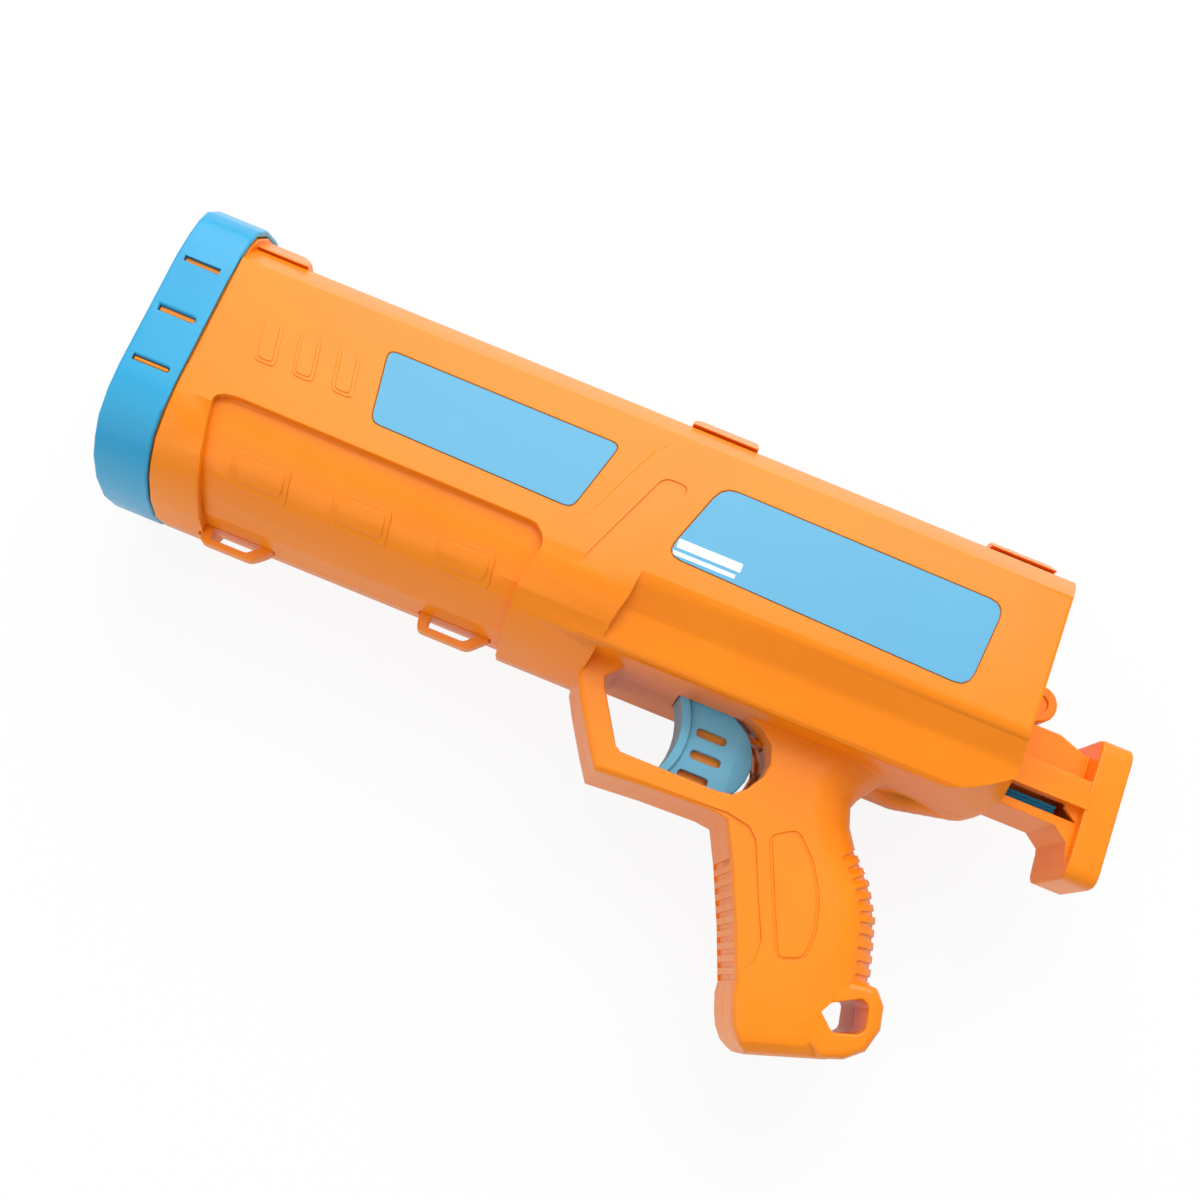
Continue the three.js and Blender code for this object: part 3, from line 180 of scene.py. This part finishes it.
rubberLook = {
    "deep": (34, 34, 36), "bright": (46, 46, 48), "cloudSize": 8, "flowSize": 5, "grainSize": 0.3,
    "roughness": 0.8, "roughnessSwing": 0.1, "flowHeight": 0.04, "grainHeight": 0.02, "coat": 0.0,
    "shine": 0.4, "coatRoughness": 0.5,
}
labelLook = {
    "deep": (84, 166, 205), "bright": (92, 174, 212), "white": (236, 240, 242), "roughness": 0.4,
    "roughnessSwing": 0.08, "grainSize": 0.35, "grainHeight": 0.004, "waveSize": 30, "waveHeight": 0.05,
    "edge": 0.15,
}
steelLook = {
    "deep": (150, 152, 156), "bright": (186, 188, 192), "roughness": 0.3, "roughnessSwing": 0.12,
    "drawSize": 0.4,
}
stripes = [  # in mm: middle x and y, half length, half height
    (209.2, -6.5, 11.7, 1.65),
    (208.3, -10.2, 11.4, 0.75),
]


def plastic(name, look):
    made, graph = material(name)
    cloud = graph.noise(look["cloudSize"], detail=3.0)
    height = graph.noise(look["flowSize"], detail=1.0) * look["flowHeight"]
    height = height + graph.noise(look["grainSize"]) * look["grainHeight"]
    graph.surface({
        "Base Color": graph.mix(cloud, linear(*look["deep"]), linear(*look["bright"])),
        "Roughness": look["roughness"] + (cloud - 0.5) * look["roughnessSwing"],
        "Normal": graph.bump(height),
        "Specular IOR Level": look["shine"],
        "Coat Weight": look["coat"],
        "Coat Roughness": look["coatRoughness"],
    })
    return made


def labelFilm(name, look, printed):
    made, graph = material(name)
    wave = graph.noise(look["waveSize"])
    colour = graph.mix(wave, linear(*look["deep"]), linear(*look["bright"]))
    soft = look["edge"] * mm
    for x, y, halfLength, halfHeight in printed:
        centre = spot(x, y)
        terms = {0: graph.place(), 1: centre}
        place = graph.node("ShaderNodeVectorMath", {"operation": "SUBTRACT"}, terms)
        along = abs(graph.node("ShaderNodeSeparateXYZ", {}, {0: place}, output="X"))
        across = abs(graph.node("ShaderNodeSeparateXYZ", {}, {0: place}, output="Y"))
        ink = along.below(halfLength * mm, soft) * across.below(halfHeight * mm, soft)
        colour = graph.mix(ink, colour, linear(*look["white"]))
    height = wave * look["waveHeight"] + graph.noise(look["grainSize"]) * look["grainHeight"]
    graph.surface({
        "Base Color": colour,
        "Roughness": look["roughness"] + (wave - 0.5) * look["roughnessSwing"],
        "Normal": graph.bump(height),
    })
    return made


def steel(name, look):
    made, graph = material(name)
    drawn = graph.noise(look["drawSize"])
    graph.surface({
        "Base Color": graph.mix(drawn, linear(*look["deep"]), linear(*look["bright"])),
        "Metallic": 1.0,
        "Roughness": look["roughness"] + (drawn - 0.5) * look["roughnessSwing"],
    })
    return made


finishes = {
    "orange_plastic": plastic("orangePlastic", orangeLook),
    "blue_plastic": plastic("bluePlastic", blueLook),
    "grey_plastic": plastic("greyPlastic", greyLook),
    "black_rubber": plastic("blackRubber", rubberLook),
    "spring_steel": steel("springSteel", steelLook),
    "printed_label": labelFilm("frontLabelFilm", labelLook, []),
}
stripedLabel = labelFilm("rearLabelFilm", labelLook, stripes)
paintedLightBlue = plastic("triggerPaintedLight", triggerPaintedLightLook)
print("materials made:", len(finishes) + 2)


# Moulded pieces: copies of the CAD solids whose edges are rounded as a mould leaves them

mouldedEdges = {  # node: (largest edge radius in mm, steps)
    "left_housing": (0.9, 3), "right_housing": (0.9, 3), "muzzle_ring": (1.0, 3), "pull_handle": (1.2, 3),
    "draw_bar": (0.4, 2), "trigger": (0.6, 3), "trigger_slider": (0.3, 1), "front_strap_loop": (0.7, 3),
    "rear_strap_loop": (0.7, 3), "barrel_tube": (0.3, 1), "ball_catch_ring": (0.4, 2), "piston": (0.4, 1),
    "piston_pad": (0.8, 2), "piston_bumper": (0.5, 2), "rear_bulkhead": (0.4, 1), "sear": (0.2, 1),
    "front_label": (0.12, 1), "rear_label": (0.12, 1),
}
moulding = {
    "sharpAngle": math.radians(34), "seamReach": 0.25 * mm, "seamRadius": 0.14, "weld": 0.004 * mm,
    "seamFacing": 0.99, "bendFacing": 0.64, "flatAngle": math.radians(0.6), "roomShare": 0.42,
    "leastWeight": 0.04, "attempts": 8, "halvings": 3, "easeShare": 0.5, "easeReach": 1.2 * mm,
    "foldReach": 0.45 * mm, "foldArea": 0.02 * mm * mm,
}


def pieceName(node):
    first, *rest = node.split("_")
    return first + "".join(word.capitalize() for word in rest or ["piece"])


def inSeam(face):
    level = abs(face.calc_center_median().z - launcherZero.z)
    return abs(face.normal.z) > moulding["seamFacing"] and level < moulding["seamReach"]


# How far a face reaches from one of its edges, short of its nearest corner that isn't part of the same bend
def roomBeside(edge, face):
    start, end = edge.verts
    length = edge.calc_length()
    along = (end.co - start.co) / length
    room = 1.0
    for corner in face.verts:
        if corner in edge.verts:
            continue
        reach = min(max((corner.co - start.co).dot(along), 0.0), length)
        away = corner.co - (start.co + along * reach)
        joined = any(link.other_vert(corner) in edge.verts for link in corner.link_edges)
        beyond = reach in (0.0, length)
        if joined and beyond and abs(away.normalized().dot(along)) > moulding["bendFacing"]:
            continue
        room = min(room, away.length)
    return room


def applied(piece):  # the piece's modifiers worked into its mesh
    graph = bpy.context.evaluated_depsgraph_get()
    mesh = bpy.data.meshes.new_from_object(piece.evaluated_get(graph))
    mesh.validate()
    piece.modifiers.clear()
    piece.data = mesh


def welded(mesh):
    shape = bmesh.new()
    shape.from_mesh(mesh)
    bmesh.ops.remove_doubles(shape, verts=shape.verts, dist=moulding["weld"])
    return shape


def fitted(piece, node):
    piece.data.materials.clear()
    piece.data.materials.append(finishes[slotOf[node]])
    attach(piece, bodyOf[node])
    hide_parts(node)


# Heel of the housing: the photograph's keel runs to the rear end, and only its corners are turned up

heelForm = {  # mm in the launcher's places, and shares as pairs
    "start": 308.6, "end": 338.0, "keel": -47.3, "domeDepth": 7.5, "domeHalf": 51.0,
    "cutStart": 310.0, "cutLength": 28.0, "cutRise": 17.0, "bite": 1.2, "leastHeight": 0.1,
    "soleRadius": 7.0, "soleShare": 0.999,
    "cornerStart": 311.0, "cornerLength": 18.0, "cornerRise": 11.0, "cornerLean": 0.78, "cornerEdge": 36.1,
    "windows": [(14.5, -40.7), (19.0, -32.3)], "lengthSteps": 22,
    "sides": [0.15, 5, 10, 14.5, 14.54, 19.0, 19.04, 23, 27, 30.5, 33.81, 35.51, 36.11, 37.9, 38.32, 39.56,
              41],
}
domePairs = [(0, 0), (0.4, 0.12), (0.7, 0.42), (0.88, 0.75), (0.965, 1.1), (1, 1.6)]
keelPairs = [(0, -47.3), (33.81, -47.3), (35.51, -45.64), (36.11, -43.52), (37.9, -35.24), (38.32, -33.35),
             (39.56, -31.22), (44.39, -24.41)]
cutPairs = [(0, 0), (0.12, 0.01), (0.25, 0.06), (0.4, 0.15), (0.55, 0.28), (0.7, 0.44), (0.85, 0.65),
            (1, 0.94), (1.6, 2)]
cornerPairs = [(0, 0), (0.2, 0.05), (0.4, 0.18), (0.6, 0.38), (0.8, 0.62), (1, 0.94), (2, 2.6)]


def heightAlong(pairs, place):  # height of a line of points at a place
    for (first, low), (second, high) in zip(pairs, pairs[1:]):
        if place <= second:
            return low + (high - low) * max(place - first, 0.0) / (second - first)
    return pairs[-1][1]


def heelUnder(x, z, end):  # underside of the heel: the keel, its leaned corner or the sole's roll
    form = heelForm
    leaned = x + form["cornerLean"] * (z - form["cornerEdge"])
    turned = (leaned - form["cornerStart"]) / form["cornerLength"]
    corner = form["keel"] + form["cornerRise"] * heightAlong(cornerPairs, turned)
    radius = form["soleRadius"]
    reach = min(max(x - end + radius, 0.0), radius * form["soleShare"])
    sole = form["keel"] + radius - math.sqrt(radius ** 2 - reach ** 2)
    return max(heightAlong(keelPairs, z), corner, sole)


def heelOver(x, z):  # top of the heel: a bite above the solid's cut, and under the handle's ways
    form = heelForm
    place = (x - form["cutStart"]) / form["cutLength"]
    over = form["keel"] + form["cutRise"] * heightAlong(cutPairs, place) + form["bite"]
    for side, top in form["windows"]:
        if z <= side:
            over = min(over, top)
    return over


def heelBlock(side):
    form = heelForm
    under, over = [], []
    for z in form["sides"]:
        end = form["end"] - form["domeDepth"] * heightAlong(domePairs, z / form["domeHalf"])
        for step in range(form["lengthSteps"] + 1):
            share = math.sin(math.pi / 2 * step / form["lengthSteps"])
            x = form["start"] + (end - form["start"]) * share
            low = heelUnder(x, z, end)
            under.append(spot(x, low, side * z))
            over.append(spot(x, max(heelOver(x, z), low + form["leastHeight"]), side * z))
    steps = form["lengthSteps"] + 1
    rows = len(form["sides"])
    top = len(under)
    faces = []
    for row in range(rows - 1):
        for step in range(steps - 1):
            a = row * steps + step
            b, c, d = a + 1, a + steps + 1, a + steps
            faces += [(a, b, c), (a, c, d), (top + c, top + b, top + a), (top + d, top + c, top + a)]
    rim = list(range(steps)) + [row * steps + steps - 1 for row in range(1, rows)]
    rim += [(rows - 1) * steps + step for step in range(steps - 2, -1, -1)]
    rim += [row * steps for row in range(rows - 2, 0, -1)]
    for a, b in zip(rim, rim[1:] + rim[:1]):
        faces += [(b, a, top + a), (b, top + a, top + b)]
    mesh = bpy.data.meshes.new("heel")
    mesh.from_pydata(under + over, [], faces)
    shape = bmesh.new()
    shape.from_mesh(mesh)
    bmesh.ops.recalc_face_normals(shape, faces=shape.faces)
    shape.to_mesh(mesh)
    shape.free()
    return mesh


def withHeel(node):
    side = 1 if node == "left_housing" else -1
    block = added("heelBlock", heelBlock(side))
    solid = frame["nodes"][node].data.copy()
    shape = welded(solid)
    shape.to_mesh(solid)
    shape.free()
    whole = added("housingWhole", solid)
    union = whole.modifiers.new("heel", "BOOLEAN")
    union.operation = "UNION"
    union.object = block
    union.solver = "EXACT"
    applied(whole)
    mesh = whole.data
    for piece in (block, whole):
        bpy.data.objects.remove(piece)
    return mesh


def weighed(solid, radius):  # the solid without needless corners, each edge weighed by its room
    shape = welded(solid)
    bmesh.ops.dissolve_degenerate(shape, dist=moulding["weld"] / 2, edges=shape.edges)
    seam = {face for face in shape.faces if inSeam(face)}
    free = [edge for edge in shape.edges if not all(face in seam for face in edge.link_faces)]
    corners = [corner for corner in shape.verts if not any(face in seam for face in corner.link_faces)]
    bmesh.ops.dissolve_limit(shape, angle_limit=moulding["flatAngle"], verts=corners, edges=free)
    weight = shape.edges.layers.float.new("bevel_weight_edge")
    for edge in shape.edges:
        if len(edge.link_faces) != 2 or edge.calc_face_angle(0.0) < moulding["sharpAngle"]:
            continue
        if any(inSeam(face) for face in edge.link_faces):
            edge[weight] = moulding["seamRadius"] / radius
            continue
        room = min(roomBeside(edge, face) for face in edge.link_faces)
        share = moulding["roomShare"] * room / (radius * mm)
        edge[weight] = min(1.0, max(moulding["leastWeight"], share))
    return shape, weight


def folds(mesh, surface):  # corners of the triangles that face the wrong way or stand off the solid
    mesh.calc_loop_triangles()
    found = []
    for triangle in mesh.loop_triangles:
        first, second, third = (mesh.vertices[i].co for i in triangle.vertices)
        facing = (second - first).cross(third - first)
        if facing.length < 2 * moulding["foldArea"]:
            continue
        middle = (first + second + third) / 3
        normal = surface.find_nearest(middle)[1]
        edges = ((first + second) / 2, (second + third) / 2, (third + first) / 2)
        reach = max(surface.find_nearest(place)[3] for place in (middle, *edges))
        if facing.dot(normal) < 0 or reach > moulding["foldReach"]:
            found += [first.copy(), second.copy(), third.copy()]
    return found


def ease(shape, weight, places, share):  # leaves a share of the rounding on the edges beside these places
    tree = KDTree(len(places))
    for i, place in enumerate(places):
        tree.insert(place, i)
    tree.balance()
    for edge in shape.edges:
        if edge[weight] == 0:
            continue
        start, end = edge.verts
        along = end.co - start.co
        near = along.length / 2 + moulding["easeReach"]
        for place, *rest in tree.find_range(start.co + along / 2, near):
            reach = min(max((place - start.co).dot(along) / along.length_squared, 0.0), 1.0)
            if (start.co + along * reach - place).length < moulding["easeReach"]:
                edge[weight] *= share
                break


def rounded(node, radius, steps):
    solid = withHeel(node) if node in ("left_housing", "right_housing") else frame["nodes"][node].data
    faces = [tuple(face.vertices) for face in solid.polygons]
    surface = BVHTree.FromPolygons([corner.co for corner in solid.vertices], faces)
    shape, weight = weighed(solid, radius)
    for attempt in range(moulding["attempts"]):
        mesh = bpy.data.meshes.new(pieceName(node))
        shape.to_mesh(mesh)
        piece = added(pieceName(node), mesh)
        bevel = piece.modifiers.new("edges", "BEVEL")
        bevel.width = radius * mm
        bevel.segments = steps
        bevel.limit_method = "WEIGHT"
        bevel.use_clamp_overlap = False
        bevel.miter_outer = "MITER_ARC"
        applied(piece)
        folded = folds(piece.data, surface)
        print("rounded:", node, attempt, len(folded) // 3, "folds")
        if not folded:
            break
        if attempt < moulding["attempts"] - 1:
            bpy.data.objects.remove(piece)
            share = moulding["easeShare"] if attempt < moulding["halvings"] else 0.0
            ease(shape, weight, folded, share)
    shape.free()
    return piece


def moulded(node, radius, steps):
    piece = rounded(node, radius, steps)
    piece.data.set_sharp_from_angle(angle=moulding["sharpAngle"])
    weight = piece.modifiers.new("shading", "WEIGHTED_NORMAL")
    weight.keep_sharp = True
    applied(piece)
    fitted(piece, node)
    print("moulded:", node, len(piece.data.polygons), "faces")
    return piece


dressed = {node: moulded(node, *edge) for node, edge in mouldedEdges.items()}
dressed["rear_label"].data.materials[0] = stripedLabel
# the trigger wears the lighter blue copy, painted light for the guard's shade
dressed["trigger"].data.materials[0] = paintedLightBlue


# Springs: the solids' coils, copied and shaded smooth

springs = {  # node: (joint, how far its loose end is pressed at the joint's limit, in mm)
    "main_spring": ("plunger_slide", 80.0),
    "trigger_spring": ("trigger_pull", 5.0),
    "sear_spring": ("sear_tilt", 4.3),
}


def coiled(node):
    piece = added(pieceName(node), frame["nodes"][node].data.copy())
    piece.data.shade_smooth()
    fitted(piece, node)
    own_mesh(piece)


for spring, (joint, travel) in springs.items():
    coiled(spring)


# Housing screws: one tree sets a cross-recessed head and its shank on each screw's place

screwLook = {
    "Head radius": 3.0 * mm, "Head height": 2.0 * mm, "Head bevel": 0.5 * mm, "Shank radius": 1.35 * mm,
    "Cross span": 3.4 * mm, "Cross width": 0.8 * mm, "Cross depth": 1.1 * mm, "Sides": 24,
}


def screwPoints():
    boxes = [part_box(node) for node in frame["nodes"] if node.startswith("housing_screw")]
    mesh = bpy.data.meshes.new("screwPlaces")
    mesh.from_pydata([((low.x + high.x) / 2, (low.y + high.y) / 2, low.z) for low, high in boxes], [], [])
    reach = mesh.attributes.new("reach", "FLOAT", "POINT")
    reach.data.foreach_set("value", [high.z - low.z for low, high in boxes])
    return mesh


def screwTree():
    tree = bpy.data.node_groups.new("crossScrews", "GeometryNodeTree")
    tree.interface.new_socket("Geometry", in_out="INPUT", socket_type="NodeSocketGeometry")
    tree.interface.new_socket("Geometry", in_out="OUTPUT", socket_type="NodeSocketGeometry")
    sockets = {}
    for name, size in screwLook.items():
        kind = "NodeSocketInt" if name == "Sides" else "NodeSocketFloat"
        sockets[name] = tree.interface.new_socket(name, in_out="INPUT", socket_type=kind)
        sockets[name].default_value = size
    graph = Graph(tree)
    size = {name: graph.node("NodeGroupInput", output=name) for name in screwLook}
    half = size["Head height"] * 0.5

    def moved(shape, rise):
        upward = graph.node("ShaderNodeCombineXYZ", {}, {"Z": rise})
        return graph.node("GeometryNodeTransform", {}, {"Geometry": shape, "Translation": upward})

    def disc(low, high, rise, radiusBelow, radiusAbove):
        shape = graph.node("GeometryNodeMeshCone", {}, {
            "Vertices": size["Sides"], "Radius Bottom": radiusBelow, "Radius Top": radiusAbove,
            "Depth": high - low,
        })
        return moved(shape, rise)

    radius = size["Head radius"]
    bevel = size["Head bevel"]
    chamfer = disc(0.0, bevel, 0.0, radius - bevel, radius)
    drum = disc(bevel, size["Head height"], bevel, radius, radius)
    crossBars = [
        graph.node("GeometryNodeMeshCube", {}, {"Size": graph.node("ShaderNodeCombineXYZ", {}, {
            "X": size[first], "Y": size[second], "Z": size["Cross depth"] * 2.0,
        })})
        for first, second in (("Cross span", "Cross width"), ("Cross width", "Cross span"))
    ]
    head = graph.node("GeometryNodeMeshBoolean", {"operation": "UNION"}, {1: [chamfer, drum]})
    head = graph.node("GeometryNodeMeshBoolean", {"operation": "DIFFERENCE"}, {0: head, 1: crossBars})
    shank = graph.node("GeometryNodeMeshCylinder", {}, {
        "Vertices": size["Sides"], "Radius": size["Shank radius"], "Depth": 1.0,
    })
    places = graph.node("NodeGroupInput", output="Geometry")
    reach = graph.node("GeometryNodeInputNamedAttribute", {"data_type": "FLOAT"}, {"Name": "reach"})
    heads = graph.node("GeometryNodeInstanceOnPoints", {}, {"Points": places, "Instance": head})
    stretch = graph.node("ShaderNodeCombineXYZ", {}, {"X": 1.0, "Y": 1.0, "Z": reach - half})
    shanks = graph.node("GeometryNodeInstanceOnPoints", {}, {
        "Points": places, "Instance": moved(shank, 0.5), "Scale": stretch,
    })
    lifted = graph.node("GeometryNodeTranslateInstances", {}, {
        "Instances": shanks, "Translation": graph.node("ShaderNodeCombineXYZ", {}, {"Z": half}),
        "Local Space": False,
    })
    joined = graph.node("GeometryNodeJoinGeometry", {}, {0: [heads, lifted]})
    real = graph.node("GeometryNodeRealizeInstances", {}, {0: joined})
    coat = {"Geometry": real, "Material": finishes["spring_steel"]}
    graph.node("NodeGroupOutput", {}, {0: graph.node("GeometryNodeSetMaterial", {}, coat)})
    return tree, sockets


def makeScrews():
    piece = added("housingScrews", screwPoints())
    tree, sockets = screwTree()
    modifier = piece.modifiers.new("screws", "NODES")
    modifier.node_group = tree
    for name, value in screwLook.items():
        modifier[sockets[name].identifier] = value
    applied(piece)
    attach(piece, "housing")
    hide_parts(*[node for node in frame["nodes"] if node.startswith("housing_screw")])
    print("screws made:", len(piece.data.polygons), "faces")


makeScrews()
for node, solid in frame["nodes"].items():  # the sear pin, and solids that a piece hides
    if node not in dressed:
        solid.data.materials.clear()
        solid.data.materials.append(finishes[slotOf[node]])


# Floor, light and camera

studio = {
    "floorHalf": 3.0, "floorColour": (0.86, 0.86, 0.86, 1.0), "floorWhite": 0.9, "floorMirrored": 0.25,
    "roomLight": 0.5, "middle": (180, -20, 0),
    "keySize": 1.5, "keyPower": 22.0, "keyPlace": (-0.1, 1.1, 1.2),
    "fillSize": 1.8, "fillPower": 8.5, "fillPlace": (-0.9, -0.9, 1.3),
    "sheenSize": 0.9, "sheenPower": 2.0, "sheenPlace": (0.0, 0.42, 1.3),
}
viewpoint = {
    "from": (180.3, -169.9, 530.0), "towards": (180.3, -22.9, 0.0), "roll": 22.2, "lens": 45.0,
    "sensorWidth": 36, "nearest": 0.01,
}


def makeFloor():
    half = studio["floorHalf"]
    mesh = bpy.data.meshes.new("floor")
    corners = [(-half, -half, 0), (half, -half, 0), (half, half, 0), (-half, half, 0)]
    mesh.from_pydata(corners, [], [(0, 1, 2, 3)])
    floor = added("floor", mesh)
    paper, graph = material("floorPaper")
    seen = graph.node("ShaderNodeLightPath", output="Is Camera Ray")
    mirrored = graph.node("ShaderNodeLightPath", output="Is Glossy Ray")
    through = graph.node("ShaderNodeLightPath", output="Is Transmission Ray")
    share = (seen + through).clamped() * studio["floorWhite"] + mirrored * studio["floorMirrored"]
    matte = graph.node("ShaderNodeBsdfDiffuse", {}, {"Color": studio["floorColour"]})
    glow = graph.node("ShaderNodeEmission")
    mixed = graph.node("ShaderNodeMixShader", {}, {0: share, 1: matte, 2: glow})
    graph.node("ShaderNodeOutputMaterial", {}, {"Surface": mixed})
    mesh.materials.append(paper)


def makeRoom():
    world = bpy.data.worlds.new("studioRoom")
    scene.world = world
    world.use_nodes = True
    graph = Graph(world.node_tree)
    seen = graph.node("ShaderNodeLightPath", output="Is Camera Ray")
    room, white = (
        graph.node("ShaderNodeBackground", {}, {"Color": (1, 1, 1, 1), "Strength": strength})
        for strength in (studio["roomLight"], 1.0)
    )
    mixed = graph.node("ShaderNodeMixShader", {}, {0: seen, 1: room, 2: white})
    graph.node("ShaderNodeOutputWorld", {}, {"Surface": mixed})


def aimed(place, target, roll=0.0):  # a frame at place that looks at target, turned about its own view
    turn = (target - place).to_track_quat("-Z", "Y").to_matrix().to_4x4()
    return Matrix.Translation(place) @ turn @ Matrix.Rotation(math.radians(roll), 4, "Z")


def softBox(name):
    lamp = bpy.data.lights.new(name, "AREA")
    lamp.shape = "SQUARE"
    lamp.size = studio[name + "Size"]
    lamp.energy = studio[name + "Power"]
    holder = added(name + "Light", lamp)
    holder.matrix_world = aimed(Vector(studio[name + "Place"]), spot(*studio["middle"]))


def makeCamera():
    lens = bpy.data.cameras.new("camera")
    lens.lens = viewpoint["lens"]
    lens.sensor_width = viewpoint["sensorWidth"]
    lens.clip_start = viewpoint["nearest"]
    camera = added("camera", lens)
    camera.matrix_world = aimed(spot(*viewpoint["from"]), spot(*viewpoint["towards"]), viewpoint["roll"])
    scene.camera = camera


makeFloor()
makeRoom()
for box in ("key", "fill", "sheen"):
    softBox(box)
makeCamera()
scene.view_settings.view_transform = "Standard"
print("studio set")
